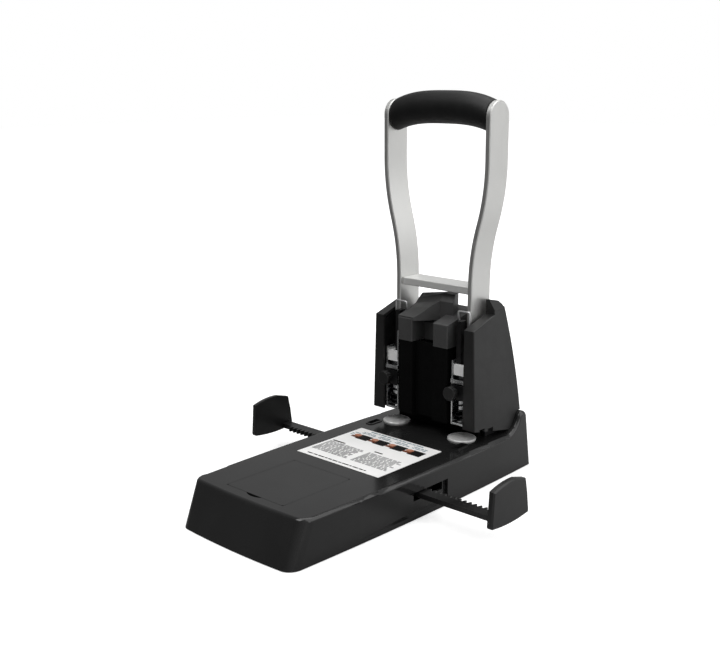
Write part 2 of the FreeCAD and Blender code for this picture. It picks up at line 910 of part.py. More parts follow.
def handle_arms():
    """Flat aluminium arms, bent outwards above the crossbar."""
    for side, name in sides():
        arm = front_plate(arm_steps(), arm_front, arm_front + arm_width)
        radius = arm_width / 2
        middle = arm_front + radius
        crown = rod_x(radius, 0, 80, middle, handle_height - radius)
        keep = box(0, 80, arm_front - 1, arm_front + arm_width + 1, 0, handle_height - radius).fuse(crown)
        arm = arm.common(keep)
        arm = bevelled(arm, 0.7, lambda m, e: m.z > deck + 100 and not (
            abs(e.Vertexes[0].Point.x - e.Vertexes[-1].Point.x) > 3 and
            abs(e.Vertexes[0].Point.y - e.Vertexes[-1].Point.y) < 0.01 and
            abs(e.Vertexes[0].Point.z - e.Vertexes[-1].Point.z) < 1.5) and
            (abs(m.y - arm_front) < 0.01 or abs(m.y - arm_front - arm_width) < 0.01 or
             m.z > handle_height - radius))
        root = side_plate([
            (arm_front, pivot_z + 13.0),
            (arm_front, pivot_z + 20.0),
            (arm_front + arm_width, pivot_z + 20.0),
            (arm_front + arm_width, pivot_z),
            (9.4, pivot_z + 3.0),
        ], arm_inner, arm_outer)
        hub = rod_x(13.0, arm_inner, arm_outer, pivot_y, pivot_z)
        arm = arm.cut(box(0, 80, 0, 40, 0, pivot_z + 20.0))
        arm = arm.fuse(root).fuse(hub)
        arm = arm.cut(rod_x(shaft_radius, 0, 80, pivot_y, pivot_z))
        y, z = grip_axis()
        arm = arm.cut(rod_x(3.0, 0, grip_half() + 2.5, y, z))
        save("handle_arm_" + name, on_side(arm.removeSplitter(), side))


def handle_crossbar():
    """Flat bar that ties the two arms together."""
    bar = box(-arm_inner, arm_inner, 7.4, 28.2, bar_low, bar_low + bar_gauge)
    save("handle_crossbar", bevelled(bar, 0.6, lambda m, e: abs(m.x) < 0.01))


def grip_half():
    """Half the free width between the tops of the arms."""
    return arm_top() - arm_gauge / 2


def grip_axis():
    """Place of the rod inside the grip."""
    return arm_front + arm_width / 2, handle_height - 10.1


def grip():
    """Arched grip between the tops of the arms, moulded round a rod."""
    inner = grip_half()
    middle_y = arm_front + arm_width / 2
    half_deep = arm_width / 2 - 0.6
    wires = []
    half_high = 13.1
    end_z = handle_height - 12.8
    arch = 6.9
    for share in (-1.0, -0.8, -0.5, 0.0, 0.5, 0.8, 1.0):
        centre = V(share * inner, middle_y, end_z + arch * (1 - abs(share) ** 3))
        ellipse = Part.Ellipse(centre + V(0, 0, half_high), centre + V(0, half_deep, 0), centre)
        wires.append(Part.Wire([ellipse.toShape()]))
    body = Part.makeLoft(wires, True, False)
    y, z = grip_axis()
    save("grip", body.cut(rod_x(5.5, -inner - 1, inner + 1, y, z)))


def grip_rod():
    """Steel rod inside the grip, with a spigot in each arm."""
    inner = grip_half()
    y, z = grip_axis()
    rod = rod_x(5.5, -inner, inner, y, z).fuse(rod_x(3.0, -inner - 2.4, inner + 2.4, y, z))
    save("grip_rod", rod)


def drive_sectors():
    """Toothed sectors on the shaft, beside the arms, which drive the punches."""
    step = 2 * math.pi / sector_teeth
    angles = [math.pi + step * k for k in range(-5, 2)]
    points = toothed(sector_module, sector_teeth, angles)
    for side, name in sides():
        steps = [(y + pivot_y, z + pivot_z) for y, z in points] + [(pivot_y, pivot_z)]
        sector = side_plate(steps, sector_inner, sector_outer)
        sector = sector.fuse(rod_x(13.2, sector_inner, sector_outer, pivot_y, pivot_z))
        sector = sector.cut(rod_x(shaft_radius, 0, 80, pivot_y, pivot_z))
        save("drive_sector_" + name, on_side(sector.removeSplitter(), side))


def main_shaft():
    """Shaft that turns with the handle in the frames and the head."""
    end = frame_outer + 1.4
    shaft = rod_x(shaft_radius, -end, end, pivot_y, pivot_z)
    save("main_shaft", bevelled(shaft, 0.6, lambda m, e: abs(abs(m.x) - end) < 0.01))


def hook_stations():
    """Point and heading along a return spring's leg, from its coil to its hooked end."""
    wire_gap = 0.9
    y = arm_front - wire_gap
    top = deck + 105.0
    corner = 3.0
    inner = half_hole - 7.8
    outer = half_hole + 3.5
    bend = V(inner - 0.1, pivot_y - 8.8, pivot_z + 6.0)
    shoulder = V(inner, y, top - corner)
    rise = shoulder - bend
    rise.normalize()
    return [
        (bend, rise),
        (shoulder, rise),
        (V(inner + corner, y, top), V(1, 0, 0)),
        (V(outer - corner, y, top), V(1, 0, 0)),
        (V(outer, y, top - corner), V(0, 0, -1)),
        (V(outer, y, top - 10.0), V(0, 0, -1)),
    ]


def return_springs():
    """Springs coiled on the shaft, each with a leg hooked over the front of its arm."""
    wire = 0.75
    mean = 7.6
    pitch = 2.5
    turns = 3
    start_x = half_hole - 15.6
    stations = []
    for point, heading in coil_stations(mean, pitch, turns):
        place = V(start_x + point.z, pivot_y - point.x, pivot_z + point.y)
        stations.append((place, V(heading.z, -heading.x, heading.y)))
    coil = coil_edges(stations)
    print_least_gap("return_spring", coil, wire, mean * 2)
    leg = coil_edges([stations[-1], *hook_stations()])
    spring = tube_along(coil + leg, stations[0][0], stations[0][1], wire)
    for side, name in sides():
        save("return_spring_" + name, on_side(spring, side))


# Punches


def block_low():
    """Underside of a slide at rest, where its spring presses."""
    return punch_tip + 30.2


def punch_slides():
    """Yoke blocks that hold the punches, each with the toothed bar that drives it down."""
    low = block_low()
    high = low + 8.6
    line = pivot_y - sector_pitch
    stem_top = pivot_z + travel + 4.2
    teeth = rack_points(sector_module, -5.1, travel + 4.2, line, 1)
    root = line - 1.25 * sector_module
    seat = high - 3.0
    outline = [(-2.6, seat - pivot_z), (-2.6, stem_top - pivot_z), (root, stem_top - pivot_z)]
    outline += [(y, z) for z, y in reversed(teeth)]
    outline += [(root, seat - pivot_z)]
    inner = half_hole - bracket_half() + bracket_gauge + gap
    outer = half_hole + bracket_half() - bracket_gauge - gap
    for side, name in sides():
        steps = [(y, z + pivot_z) for y, z in outline]
        channel = rod_z(punch_bore, low, high + 9.0, half_hole, 0)
        stem = side_plate(steps, sector_inner, sector_outer).cut(channel)
        block = box(inner, outer, -5.4, root + 1.6, low, high)
        block = block.cut(box(sector_inner, sector_outer, -2.6, root, seat, high + 1)).cut(channel)
        block = block.cut(rod_z(punch_radius + running, low - 1, low + 5.0, half_hole, 0))
        save("slide_rack_" + name, on_side(stem, side))
        save("punch_slide_" + name, on_side(block, side))


def punches():
    """Hollow punches, seated in the slides."""
    for side, name in sides():
        top = block_low() + 5.0
        punch = rod_z(punch_radius, punch_tip, top, half_hole, 0)
        punch = bevelled(punch, 0.7, lambda m, e: abs(m.z - punch_tip) < 0.01 and e.Length > 10)
        punch = punch.cut(rod_z(punch_bore, punch_tip - 1, top + 1, half_hole, 0))
        save("punch_" + name, on_side(punch, side))


def punch_springs():
    """Coil springs that lift the punches."""
    wire = 0.6
    turns = 10
    seat = 0.04
    low = throat_top + 2.0 + wire + seat
    high = block_low() - wire - seat
    stations = coil_stations(4.6, (high - low) / turns, turns)
    edges = coil_edges(stations)
    print_least_gap("punch_spring", edges, wire, 14.0)
    for side, name in sides():
        spring = tube_along(edges, stations[0][0], stations[0][1], wire)
        spring.translate(V(half_hole, 0, low))
        save("punch_spring_" + name, on_side(spring, side))


def bracket_half():
    """Half the outside width of a punch bracket."""
    return 6.7


def punch_brackets():
    """Steel brackets that guide the punches and strip the paper, taller on their right."""
    half = bracket_half()
    low = throat_top
    for side, name in sides():
        x = side * half_hole
        bracket = box(x - half, x + half, -6.2, 9.0, low, low + 2.0)
        bracket = bracket.fuse(box(x - half, x - half + bracket_gauge, -6.2, 9.0, low, deck + 66.2))
        bracket = bracket.fuse(box(x + half - bracket_gauge, x + half, -6.2, 9.0, low, deck + 81.4))
        bracket = bracket.fuse(box(x - half, x + half, -7.4, -6.0, deck + 47.8, deck + 51.0))
        pad = box(half_hole + half, frame_inner, -3.0, 6.0, deck + 20.0, deck + 30.0)
        bracket = bracket.fuse(on_side(pad, side))
        bracket = bracket.cut(rod_z(punch_radius + running, low - 1, low + 3, x, 0))
        save("punch_bracket_" + name, bracket.removeSplitter())


def knob_place(side):
    """Middle of a clamp knob in X and Z."""
    return side * half_hole - 2.0, deck + 40.8


def clamp_plates():
    """Plates across the front of the brackets, which the knobs screw into."""
    half = bracket_half()
    for side, name in sides():
        x, z = knob_place(side)
        middle = side * half_hole
        plate = box(middle - half, middle + half, -7.4, -6.2, z - 6.4, z + 5.6)
        plate = plate.cut(rod_y(2.0 + running, -9.0, 0, x, z))
        save("clamp_plate_" + name, plate)


def knobs():
    """Thumb knobs of the clamp screws."""
    radius = 5.9
    for side, name in sides():
        x, z = knob_place(side)
        knob = rod_y(radius, -16.0, -11.6, x, z)
        knob = rounded(knob, 0.9, lambda m, e: abs(m.y + 16.0) < 0.01 and e.Length > 20)
        for k in range(12):
            a = 2 * math.pi * k / 12
            knob = knob.cut(rod_y(0.8, -17.0, -11.0, x + 6.3 * math.cos(a), z + 6.3 * math.sin(a)))
        collar = rod_y(3.4, -11.6, -7.4 - gap, x, z)
        knob = knob.fuse(collar).fuse(rod_y(2.0, -9.0, -6.4, x, z))
        save("knob_" + name, knob.removeSplitter())


def build():
    """Write every sub-part."""
    os.makedirs("parts", exist_ok=True)
    makers = (
        base_shell, base_floor, floor_screws, feet, storage_box, storage_lid, instruction_label,
        chip_drawer, guide_carrier, guide_cover, guide_pinion, guide_racks, guide_plates,
        anvil, cutting_discs, side_frames, tie_rods, cheeks, rear_cover, column, paper_stop,
        head, handle_arms, handle_crossbar, grip, grip_rod, drive_sectors, main_shaft,
        return_springs, punch_slides, punches, punch_springs, punch_brackets, clamp_plates, knobs,
    )
    for maker in makers:
        maker()


build()
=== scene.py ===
"""Looks of a heavy-duty two-hole punch: finishes, soft parts, wound springs and a studio."""

import math

import bpy
from mathutils import Matrix, Vector


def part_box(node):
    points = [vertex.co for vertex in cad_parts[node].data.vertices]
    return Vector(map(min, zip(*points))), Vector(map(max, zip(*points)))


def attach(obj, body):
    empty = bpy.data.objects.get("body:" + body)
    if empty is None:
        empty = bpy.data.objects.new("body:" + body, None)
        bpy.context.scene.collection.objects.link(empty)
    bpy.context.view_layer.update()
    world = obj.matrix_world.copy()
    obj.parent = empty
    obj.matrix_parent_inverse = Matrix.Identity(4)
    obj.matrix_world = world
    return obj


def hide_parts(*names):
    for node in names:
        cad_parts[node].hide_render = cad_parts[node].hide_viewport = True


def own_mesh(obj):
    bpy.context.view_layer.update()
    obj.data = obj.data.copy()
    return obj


MM = 0.001

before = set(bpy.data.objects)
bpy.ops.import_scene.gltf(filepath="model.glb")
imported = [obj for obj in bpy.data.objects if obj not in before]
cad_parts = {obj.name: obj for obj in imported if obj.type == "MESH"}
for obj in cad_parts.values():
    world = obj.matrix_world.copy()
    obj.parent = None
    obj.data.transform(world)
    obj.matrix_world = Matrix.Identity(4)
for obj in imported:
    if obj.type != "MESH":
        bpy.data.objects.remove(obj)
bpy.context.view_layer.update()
ops = bpy.ops


def stem_of(name):
    """Name of a node without its side."""
    return name.replace("_left", "").replace("_right", "")


# Materials


def colour(code):
    """Linear colour of an sRGB hex code."""
    parts = [int(code[i:i + 2], 16) / 255 for i in (1, 3, 5)]
    return tuple(p / 12.92 if p <= 0.04045 else ((p + 0.055) / 1.055) ** 2.4 for p in parts) + (1.0,)


def add(tree, kind, inputs=(), **settings):
    """Add a shader node, set its options and fill its sockets with values or links."""
    node = tree.nodes.new("ShaderNode" + kind)
    for name, value in settings.items():
        setattr(node, name, value)
    for key, value in dict(inputs).items():
        if isinstance(value, bpy.types.NodeSocket):
            tree.links.new(value, node.inputs[key])
        else:
            node.inputs[key].default_value = value
    return node


def start(name):
    """New material with its tree, its output and the object coordinates."""
    made = bpy.data.materials.new(name)
    made.use_nodes = True
    tree = made.node_tree
    tree.nodes.clear()
    place = add(tree, "TexCoord").outputs["Object"]
    return made, tree, place


def close(tree, shader):
    """Join the shader to the output."""
    add(tree, "OutputMaterial", {"Surface": shader.outputs[0]})


def blotches(tree, place, size, low, high, detail=3.0):
    """Soft patches of a size in millimetres, as a number between low and high."""
    noise = add(tree, "TexNoise", {"Vector": place, "Scale": 1000.0 / size, "Detail": detail})
    spread = add(tree, "MapRange", {"Value": noise.outputs[0], 1: 0.35, 2: 0.65, 3: low, 4: high})
    return spread.outputs[0]


def moulded(name, shade, light, rough, grain, depth, ior=1.5):
    """Moulded plastic: two close shades, patchy gloss and a spark-eroded grain, in millimetres."""
    made, tree, place = start(name)
    share = blotches(tree, place, 35.0, 0.0, 1.0)
    tint = add(tree, "Mix", {0: share, 6: colour(shade), 7: colour(light)}, data_type="RGBA")
    gloss = blotches(tree, place, 18.0, rough * 0.85, rough * 1.15)
    pits = add(tree, "TexNoise", {"Vector": place, "Scale": 1000.0 / grain, "Detail": 2.0})
    bump = add(tree, "Bump", {"Height": pits.outputs[0], "Distance": depth * MM, "Strength": 1.0})
    shader = add(tree, "BsdfPrincipled", {
        "Base Color": tint.outputs[2], "Roughness": gloss, "IOR": ior, "Normal": bump.outputs[0]})
    close(tree, shader)
    return made


def base_abs():
    """Satin moulded ABS, with a fine even grain that softens reflections."""
    return moulded("satin_moulded_abs", "#1c1c1c", "#212121", 0.14, 0.6, 0.004)


def cheek_abs():
    """The same ABS in a coarser, duller mould texture."""
    return moulded("textured_moulded_abs", "#1c1c1c", "#212121", 0.42, 0.8, 0.02, 1.42)


def column_nylon_painted_shade():
    """Black nylon with an etched texture; its near-black colour is painted shade, for the deep shadow on
    the column between the cheeks.
    """
    return moulded("etched_black_nylon", "#020202", "#050505", 0.8, 0.9, 0.03, 1.2)


def dark_nylon():
    """Glass-filled nylon: nearly black and matt."""
    return moulded("matt_glass_filled_nylon", "#0b0b0b", "#101010", 0.5, 0.5, 0.02)


def rack_acetal():
    """Black acetal, smooth and slightly waxy."""
    return moulded("black_acetal", "#141414", "#1a1a1a", 0.35, 0.5, 0.006)


def natural_acetal():
    """Undyed acetal: off-white and waxy."""
    return moulded("natural_acetal", "#d9d6cc", "#e2dfd6", 0.4, 0.5, 0.006)


def cast_head():
    """Die-cast zinc under black powder coat, with its orange-peel skin."""
    return moulded("black_powder_coated_zinc", "#3b3b3b", "#434343", 0.5, 1.6, 0.06)


def blackened_steel():
    """Oiled black-oxide steel plate."""
    made, tree, place = start("black_oxide_steel")
    share = blotches(tree, place, 9.0, 0.0, 1.0)
    tint = add(tree, "Mix", {0: share, 6: colour("#1a1a1b"), 7: colour("#242425")}, data_type="RGBA")
    gloss = blotches(tree, place, 4.0, 0.38, 0.55)
    shader = add(tree, "BsdfPrincipled", {
        "Base Color": tint.outputs[2], "Metallic": 0.6, "Roughness": gloss})
    close(tree, shader)
    return made


def brushed(name, shade, light, rough, stretch, line, metal=1.0):
    """Metal brushed along one axis: stretch gives the mm of a brush mark along X, Y and Z.

    A metal value under 1 is matched: a full metal mirrors the dark column and looks too dark.
    """
    made, tree, place = start(name)
    drawn = add(tree, "Mapping", {"Vector": place, "Scale": [1000.0 / s for s in stretch]})
    marks = add(tree, "TexNoise", {
        "Vector": drawn.outputs[0], "Scale": 1.0, "Detail": 4.0, "Roughness": 0.6})
    tint = add(tree, "Mix", {0: marks.outputs[0], 6: colour(shade), 7: colour(light)}, data_type="RGBA")
    gloss = add(tree, "MapRange", {
        "Value": marks.outputs[0], 1: 0.3, 2: 0.7, 3: rough - 0.06, 4: rough + 0.08})
    bump = add(tree, "Bump", {"Height": marks.outputs[0], "Distance": line * MM, "Strength": 1.0})
    shader = add(tree, "BsdfPrincipled", {
        "Base Color": tint.outputs[2], "Metallic": metal, "Roughness": gloss.outputs[0],
        "Normal": bump.outputs[0]})
    close(tree, shader)
    return made


def arm_metal():
    """Anodised aluminium strip, brushed along its length before it was bent."""
    return brushed("brushed_anodised_aluminium", "#cdcdcb", "#dbdbd9", 0.42,
                   (0.5, 0.5, 30.0), 0.003)


def bar_metal_painted_highlight():
    """The same strip, brushed across the punch; its lighter colour and half metal are a painted highlight
    for the bright top of the bar.
    """
    return brushed("cross_brushed_anodised_aluminium", "#e6e6e4", "#f0f0ee", 0.36,
                   (30.0, 0.5, 0.5), 0.003, 0.5)


def zinc_steel():
    """Pressed steel sheet with bright zinc, whose fine crystals scatter most of the light."""
    return brushed("bright_zinc_plated_steel", "#e2e3e4", "#f2f2f2", 0.4,
                   (1.2, 1.2, 4.0), 0.002, 0.35)


def yoke_steel_painted_light():
    """Tumbled steel of the yokes, nearly white and barely metal: painted light, so that the yokes in the
    shade of the cheeks come out bright.
    """
    return brushed("satin_nickel_plate", "#f4f4f3", "#fcfcfc", 0.38,
                   (1.2, 1.2, 3.0), 0.002, 0.08)


def sheet_steel():
    """Cold-rolled sheet of the brackets under a thin clear zinc, which mirrors the dark column."""
    return brushed("clear_zinc_sheet", "#c0c1c2", "#dcdddd", 0.26, (1.2, 1.2, 4.0), 0.002)


def ground_steel():
    """Ground and hardened steel of the hollow punches."""
    return brushed("ground_tool_steel", "#a9aaac", "#c6c7c8", 0.24, (2.0, 2.0, 0.15), 0.002)


def spring_wire_painted_shade():
    """Drawn music wire, dark: the dark colour is painted shade, for the shadow inside the punch brackets.
    """
    return brushed("drawn_spring_wire", "#2a2a2b", "#3c3c3e", 0.34, (0.4, 0.4, 0.4), 0.002)


def bright_wire():
    """Zinc-plated music wire of the return springs."""
    return brushed("zinc_plated_wire", "#c6c7c8", "#dcdcdd", 0.34, (0.4, 0.4, 0.4), 0.002, 0.7)


def turned_steel():
    """Face-turned disc steel, with rings round each disc's own centre."""
    made, tree, place = start("face_turned_steel")
    split = add(tree, "SeparateXYZ", {0: place})
    near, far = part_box("cutting_disc_right")
    middle = (near.x + far.x) / 2
    depth = (near.y + far.y) / 2
    ring_spacing = 0.8
    side = add(tree, "Math", {0: split.outputs[0]}, operation="ABSOLUTE")
    across = add(tree, "Math", {0: side.outputs[0], 1: middle}, operation="SUBTRACT")
    along = add(tree, "Math", {0: split.outputs[1], 1: depth}, operation="SUBTRACT")
    centred = add(tree, "CombineXYZ", {0: across.outputs[0], 1: along.outputs[0]})
    # The wave texture draws a ring each time 20 times its scale times the radius grows by a turn.
    rings = add(tree, "TexWave", {
        "Vector": centred.outputs[0], "Scale": 2 * math.pi / (20 * ring_spacing * MM),
        "Distortion": 0.6, "Detail": 2.0, "Detail Scale": 3.0},
        wave_type="RINGS", rings_direction="SPHERICAL")
    stains = blotches(tree, place, 3.5, 0.0, 0.7, 5.0)
    tint = add(tree, "Mix", {0: stains, 6: colour("#f0f0ef"), 7: colour("#cfcfce")}, data_type="RGBA")
    gloss = blotches(tree, place, 3.5, 0.5, 0.66, 5.0)
    bump = add(tree, "Bump", {"Height": rings.outputs[1], "Distance": 0.006 * MM, "Strength": 0.6})
    shader = add(tree, "BsdfPrincipled", {
        "Base Color": tint.outputs[2], "Metallic": 0.45, "Roughness": gloss,
        "Normal": bump.outputs[0]})
    close(tree, shader)
    return made


def foot_rubber():
    """Die-cut EPDM rubber, matt and dusty."""
    return moulded("die_cut_rubber", "#161616", "#222221", 0.8, 0.4, 0.04)


def grip_rubber():
    """Soft moulded vinyl: black, smooth and slightly greasy, with a leather-like grain."""
    made, tree, place = start("soft_moulded_vinyl")
    share = blotches(tree, place, 20.0, 0.0, 1.0)
    tint = add(tree, "Mix", {0: share, 6: colour("#0f0f0f"), 7: colour("#151515")}, data_type="RGBA")
    gloss = blotches(tree, place, 12.0, 0.42, 0.52)
    cell = 1.1
    cells = add(tree, "TexVoronoi", {"Vector": place, "Scale": 1000.0 / cell},
                feature="DISTANCE_TO_EDGE")
    crease = add(tree, "MapRange", {"Value": cells.outputs[0], 1: 0.0, 2: 0.12, 3: 0.0, 4: 1.0})
    bump = add(tree, "Bump", {"Height": crease.outputs[0], "Distance": 0.02 * MM, "Strength": 0.5})
    shader = add(tree, "BsdfPrincipled", {
        "Base Color": tint.outputs[2], "Roughness": gloss, "IOR": 1.4, "Normal": bump.outputs[0]})
    close(tree, shader)
    return made


def coated_paper():
    """Coated label paper: white, with a faint fibre unevenness under the gloss."""
    return moulded("coated_label_paper", "#ececeb", "#f2f1f0", 0.4, 0.7, 0.004)


def ink(name, shade, light):
    """Offset ink on the coated paper, slightly uneven."""
    return moulded(name, shade, light, 0.7, 0.7, 0.004, 1.25)


# Pieces


def deselect():
    """Nothing selected, object mode."""
    ops.object.select_all(action="DESELECT")


def pick(piece, wanted):
    """Edit mode with only the wanted vertices selected, and what lies wholly between them."""
    deselect()
    piece.select_set(True)
    bpy.context.view_layer.objects.active = piece
    ops.object.mode_set(mode="EDIT")
    ops.mesh.select_mode(type="VERT")
    ops.mesh.select_all(action="DESELECT")
    ops.object.mode_set(mode="OBJECT")
    for spot in piece.data.vertices:
        spot.select = wanted(spot.co)
    ops.object.mode_set(mode="EDIT")


def place_piece(piece, name, body, slot, finish, *nodes):
    """Name a finished piece, set its place into its mesh and hang it on its body."""
    deselect()
    piece.select_set(True)
    bpy.context.view_layer.objects.active = piece
    ops.object.transform_apply(location=True, rotation=True, scale=True)
    piece.name = name
    piece.data.name = name
    piece.data.materials.clear()
    piece.data.materials.append(finish)
    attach(piece, body)
    if nodes:
        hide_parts(*nodes)
    return piece


def soft_light(name, spot, size, power):
    """Square softbox aimed at the middle of the punch."""
    lamp = bpy.data.lights.new(name, "AREA")
    lamp.size = size
    lamp.energy = power
    holder = bpy.data.objects.new(name, lamp)
    bpy.context.scene.collection.objects.link(holder)
    holder.location = spot
    aim = Vector((0, 0, 0.12)) - Vector(spot)
    holder.rotation_euler = aim.to_track_quat("-Z", "Y").to_euler()


def slope(tree, place, low, high):
    """Number that rises along the diagonal from the front left to the back right."""
    split = add(tree, "SeparateXYZ", {0: place})
    along = add(tree, "Math", {0: split.outputs[0], 1: split.outputs[1]}, operation="ADD")
    return add(tree, "MapRange", {"Value": along.outputs[0], 1: low, 2: high, 3: 0.0, 4: 1.0}).outputs[0]


def floor_paper():
    """Pale matt paper; for all but camera rays a painted shade darkens it towards the front left, in what
    the punch mirrors of it.
    """
    made, tree, place = start("matt_floor_paper")
    seen = add(tree, "LightPath").outputs["Is Camera Ray"]
    reach = add(tree, "VectorMath", {0: place}, operation="LENGTH")
    lift = add(tree, "MapRange", {"Value": reach.outputs["Value"], 1: 0.3, 2: 0.9, 3: 0.5, 4: 1.0})
    lift = add(tree, "Math", {0: lift.outputs[0], 1: seen}, operation="MULTIPLY")
    white = add(tree, "Emission", {"Color": (1, 1, 1, 1), "Strength": lift.outputs[0]})
    # Painted shade: the paper darkens towards the front left for every ray but the camera's.
    shade = add(tree, "Mix", {0: slope(tree, place, -0.5, 1.2), 6: colour("#585858"), 7: colour("#f0f0f0")},
                data_type="RGBA")
    shade = add(tree, "Mix", {0: seen, 6: shade.outputs[2], 7: colour("#e6e6e6")}, data_type="RGBA")
    paper = add(tree, "BsdfDiffuse", {"Color": shade.outputs[2]})
    close(tree, add(tree, "AddShader", {0: paper.outputs[0], 1: white.outputs[0]}))
    return made


def pale_world():
    """White to the camera; a softer room, brighter to the back right, for light and reflections."""
    world = bpy.data.worlds.new("pale_studio")
    bpy.context.scene.world = world
    world.use_nodes = True
    tree = world.node_tree
    tree.nodes.clear()
    seen = add(tree, "LightPath")
    way = add(tree, "TexCoord").outputs["Generated"]
    room = add(tree, "MapRange", {"Value": slope(tree, way, -1.2, 1.3), 1: 0.0, 2: 1.0, 3: 0.1, 4: 0.5})
    mirrored = add(tree, "Math", {0: seen.outputs["Is Glossy Ray"], 1: 0.06}, operation="MULTIPLY")
    clear = add(tree, "Math", {0: seen.outputs["Is Transmission Ray"], 1: 0.4}, operation="MULTIPLY")
    some = add(tree, "Math", {0: room.outputs[0], 1: mirrored.outputs[0]}, operation="ADD")
    some = add(tree, "Math", {0: some.outputs[0], 1: clear.outputs[0]}, operation="ADD")
    total = add(tree, "Math", {0: some.outputs[0], 1: seen.outputs["Is Camera Ray"]}, operation="MAXIMUM")
    sky = add(tree, "Background", {"Color": (1, 1, 1, 1), "Strength": total.outputs[0]})
    add(tree, "OutputWorld", {"Surface": sky.outputs[0]})


def studio():
    """Pale floor, soft lamps, pale world and the camera at the photograph's angle."""
    ops.mesh.primitive_plane_add(size=12.0, location=(0, 0, 0))
    floor = bpy.context.object
    floor.name = "studio_floor"
    floor.data.materials.append(floor_paper())
    pale_world()
    soft_light("key_softbox", (1.45, 0.5, 1.2), 2.3, 22.0)
    soft_light("rear_top_softbox", (-0.1, 0.45, 1.9), 1.5, 14.0)
    soft_light("front_top_softbox", (-0.2, -0.9, 1.8), 1.2, 16.0)

    heading, looks_down, leans = 43.0, 13.473, -0.27
    lens = bpy.data.cameras.new("camera")
    lens.sensor_fit = "HORIZONTAL"
    lens.sensor_width = 36.0
    lens.lens = 52.65
    lens.clip_start = 0.01
    lens.clip_end = 50.0
    camera = bpy.data.objects.new("camera", lens)
    bpy.context.scene.collection.objects.link(camera)
    turn = Matrix.Rotation(math.radians(heading), 4, "Z")
    tilt = Matrix.Rotation(math.radians(90 - looks_down), 4, "X")
    roll = Matrix.Rotation(math.radians(leans), 4, "Z")
    camera.matrix_world = Matrix.Translation((0.5311, -0.5771, 0.32145)) @ turn @ tilt @ roll
    bpy.context.scene.camera = camera
    bpy.context.scene.view_settings.view_transform = "Standard"


def node_finishes():
    """Give every CAD node its finish."""
    satin = base_abs()
    cheek = cheek_abs()
    nylon = dark_nylon()
    column = column_nylon_painted_shade()
    acetal = rack_acetal()
    natural = natural_acetal()
    coat = cast_head()
    black = blackened_steel()
    zinc = zinc_steel()
    sheet = sheet_steel()
    yoke = yoke_steel_painted_light()
    ground = ground_steel()
    wire = spring_wire_painted_shade()
    turned = turned_steel()
    arm = arm_metal()
    bar = bar_metal_painted_highlight()
    grip = grip_rubber()
    rubber = foot_rubber()
    paper = coated_paper()
    finishes = {
        "base_shell": satin, "storage_lid": satin, "base_floor": black, "floor_screws": zinc,
        "rubber_feet": rubber, "storage_box": nylon, "instruction_label": paper,
        "chip_drawer": nylon, "guide_carrier": nylon, "guide_cover": black,
        "guide_pinion": natural, "guide_rack": acetal, "guide_plate": acetal, "anvil": black,
        "cutting_disc": turned, "side_frame": black, "tie_rods": black, "cheek": cheek,
        "rear_cover": cheek, "column_cover": column, "paper_stop": column, "head": coat,
        "handle_arm": arm, "handle_crossbar": bar, "grip": grip, "grip_rod": zinc,
        "drive_sector": black, "main_shaft": ground, "return_spring": wire, "punch_slide": yoke,
        "slide_rack": black, "punch_spring": wire, "punch_bracket": sheet, "punch": ground,
        "clamp_plate": black, "knob": nylon,
    }
    for name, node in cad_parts.items():
        node.data.materials.clear()
        node.data.materials.append(finishes[stem_of(name)])
    return finishes


def wire_along(points, radius):
    """Round wire along a smooth line through points in millimetres, made a mesh with closed ends."""
    deselect()
    ops.curve.primitive_nurbs_path_add()
    wire = bpy.context.object
    line = wire.data
    line.splines.clear()
    spline = line.splines.new("NURBS")
    spline.points.add(len(points) - 1)
    for spot, point in zip(spline.points, points):
        spot.co = (*[v * MM for v in point], 1.0)
    spline.order_u = 4
    spline.use_endpoint_u = True
    spline.resolution_u = 3
    line.bevel_depth = radius * MM
    line.bevel_resolution = 2
    line.use_fill_caps = True
    ops.object.convert(target="MESH")
    ops.object.mode_set(mode="EDIT")
    ops.mesh.select_all(action="SELECT")
    ops.mesh.remove_doubles(threshold=0.00001)
    ops.mesh.normals_make_consistent(inside=False)
    ops.object.mode_set(mode="OBJECT")
    ops.object.shade_smooth_by_angle(angle=math.radians(50))
    return bpy.context.object


def punch_springs(finish):
    """Springs round the punches, with closed end turns."""
    wire, mean, turns, per_turn = 0.6, 4.6, 10.0, 14
    punch_x, punch_y = 35.0, 76.0
    for side, name in ((1, "right"), (-1, "left")):
        low, high = (corner.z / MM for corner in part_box("punch_spring_" + name))
        low, high = low + wire, high - wire
        closed = 2.2 * wire
        points = []
        for i in range(int(turns * per_turn) + 1):
            turn = i / per_turn
            if turn < 1:
                rise = closed * turn
            elif turn > turns - 1:
                rise = high - low - closed * (turns - turn)
            else:
                rise = closed + (high - low - 2 * closed) * (turn - 1) / (turns - 2)
            angle = 2 * math.pi * turn
            points.append((side * (punch_x + mean * math.cos(angle)),
                           punch_y + mean * math.sin(angle), low + rise))
        spring = wire_along(points, wire)
        place_piece(spring, "compression_spring_" + name, "base", "spring_steel", finish,
                    "punch_spring_" + name)
        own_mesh(spring)


